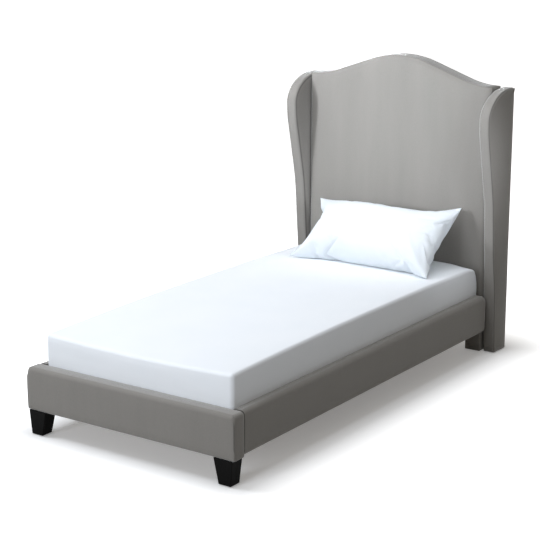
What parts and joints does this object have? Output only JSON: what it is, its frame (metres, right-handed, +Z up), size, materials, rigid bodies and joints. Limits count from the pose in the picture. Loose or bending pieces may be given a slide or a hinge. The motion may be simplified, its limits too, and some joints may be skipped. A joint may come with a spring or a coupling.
{
  "type": "wingback bed",
  "caption": "Upholstered wingback bed with a camelback headboard between full-height wings, padded rails, tapered front feet, a sprung slat base, and a mattress with fitted sheet and pillow.",
  "frame": {"origin": "on the floor, at the middle of the bed's plan", "axes": "+Y from the foot end to the head end, +Z up, +X to the right of someone who stands at the foot end"},
  "size_m": [1.08, 2.1, 1.335],
  "materials": {
    "birch": "satin",
    "black_lining": "matte",
    "black_plastic": "matte",
    "black_wood": "satin",
    "foam": "matte",
    "mattress_ticking": "matte",
    "pine": "matte",
    "plywood": "matte",
    "taupe_fabric": "matte",
    "white_cotton": "matte",
    "zinc_steel": "satin"
  },
  "bodies": {
    "frame": {"foot_bolts": "zinc_steel", "foot_glides": "black_plastic", "foot_left": "black_wood", "foot_rail_board": "pine", "foot_rail_cover": "taupe_fabric", "foot_rail_foam": "foam", "foot_right": "black_wood", "head_glides": "black_plastic", "headboard_back_panel": "black_lining", "headboard_bottom_rail": "pine", "headboard_cover": "taupe_fabric", "headboard_crown_rail": "pine", "headboard_foam": "foam", "headboard_leg_cover_left": "taupe_fabric", "headboard_leg_cover_right": "taupe_fabric", "headboard_middle_rail": "pine", "headboard_ply": "plywood", "headboard_post_left": "pine", "headboard_post_right": "pine", "ledge_screws": "zinc_steel", "rail_bolts": "zinc_steel", "rail_bracket_foot_left": "zinc_steel", "rail_bracket_foot_right": "zinc_steel", "rail_bracket_head_left": "zinc_steel", "rail_bracket_head_right": "zinc_steel", "side_rail_board_left": "pine", "side_rail_board_right": "pine", "side_rail_cover_left": "taupe_fabric", "side_rail_cover_right": "taupe_fabric", "side_rail_foam_left": "foam", "side_rail_foam_right": "foam", "slat_01": "birch", "slat_02": "birch", "slat_03": "birch", "slat_04": "birch", "slat_05": "birch", "slat_06": "birch", "slat_07": "birch", "slat_08": "birch", "slat_09": "birch", "slat_10": "birch", "slat_11": "birch", "slat_12": "birch", "slat_13": "birch", "slat_14": "birch", "slat_caps_left": "black_plastic", "slat_caps_right": "black_plastic", "slat_ledge_left": "pine", "slat_ledge_right": "pine", "wing_bolts": "zinc_steel", "wing_core_left": "pine", "wing_core_right": "pine", "wing_cover_left": "taupe_fabric", "wing_cover_right": "taupe_fabric", "wing_foam_left": "foam", "wing_foam_right": "foam"},
    "mattress": {"mattress": "mattress_ticking", "fitted_sheet": "white_cotton"},
    "pillow": {"pillow": "white_cotton"}
  },
  "joints": [
    {"name": "mattress_lift", "type": "slide", "parent": "frame", "child": "mattress", "axis": [0, 0, 1], "range_m": [0, 0.4]},
    {"name": "pillow_lift", "type": "slide", "parent": "mattress", "child": "pillow", "axis": [0, 0, 1], "range_m": [0, 0.5]}
  ]
}
